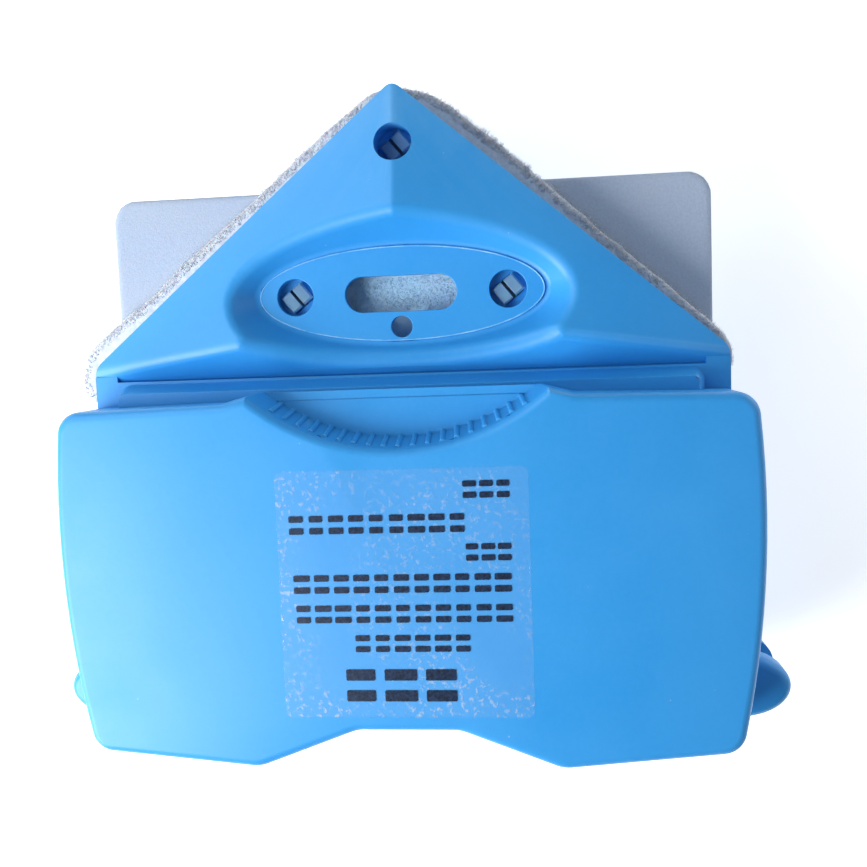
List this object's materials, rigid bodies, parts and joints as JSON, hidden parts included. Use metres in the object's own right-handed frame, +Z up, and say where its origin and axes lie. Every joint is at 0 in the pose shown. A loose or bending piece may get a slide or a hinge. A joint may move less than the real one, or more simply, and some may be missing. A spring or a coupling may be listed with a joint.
{
  "type": "magnetic glass cleaner",
  "caption": "Pair of magnetic window wipers with pointed heads, fleece pads and squeegees, closed on a foam spacer.",
  "frame": {"origin": "bottom centre of the bounding box, with the outer half's flat back on the ground", "axes": "+X across the object, +Y towards the pointed ends of the heads, +Z up through the stack towards the inner half's grip"},
  "size_m": [0.2132, 0.1867, 0.0762],
  "materials": {
    "blue_plastic": "light blue moulded ABS, glossy",
    "white_plastic": "translucent white moulded nylon",
    "fleece": "white cut-pile fleece",
    "felt": "white needle felt",
    "core_foam": "grey-white open-cell foam",
    "spacer_foam": "fine-grained closed-cell EVA foam",
    "blade_rubber": "matt black rubber",
    "yoke_steel": "zinc-plated sheet",
    "screw_steel": "zinc-plated",
    "magnet_metal": "nickel-plated sintered magnet",
    "label_film": null
  },
  "bodies": {
    "outer_half": {"outer_bar_screws": "screw_steel", "outer_cleaning_pad": "fleece", "outer_cover": "blue_plastic", "outer_cover_screws": "screw_steel", "outer_face_felt": "felt", "outer_housing": "blue_plastic", "outer_magnet_left": "magnet_metal", "outer_magnet_right": "magnet_metal", "outer_magnet_tray": "blue_plastic", "outer_pad_carrier": "white_plastic", "outer_pad_core": "core_foam", "outer_squeegee_bar": "blue_plastic", "outer_squeegee_blade": "blade_rubber", "outer_yoke_plate": "yoke_steel"},
    "spacer": {"spacer_sheet": "spacer_foam"},
    "inner_half": {"inner_bar_screws": "screw_steel", "inner_cleaning_pad": "fleece", "inner_cover_screws": "screw_steel", "inner_face_felt": "felt", "inner_grip": "blue_plastic", "inner_housing": "blue_plastic", "inner_label": "label_film", "inner_magnet_left": "magnet_metal", "inner_magnet_right": "magnet_metal", "inner_magnet_tray": "blue_plastic", "inner_pad_carrier": "white_plastic", "inner_pad_core": "core_foam", "inner_squeegee_bar": "blue_plastic", "inner_squeegee_blade": "blade_rubber", "inner_yoke_plate": "yoke_steel"}
  },
  "joints": [
    {"name": "spacer_slide", "type": "slide", "parent": "outer_half", "child": "spacer", "axis": [0, 1, 0], "range_m": [0, 0.16]},
    {"name": "inner_lift", "type": "slide", "parent": "outer_half", "child": "inner_half", "axis": [0, 0, 1], "range_m": [0, 0.12]}
  ]
}
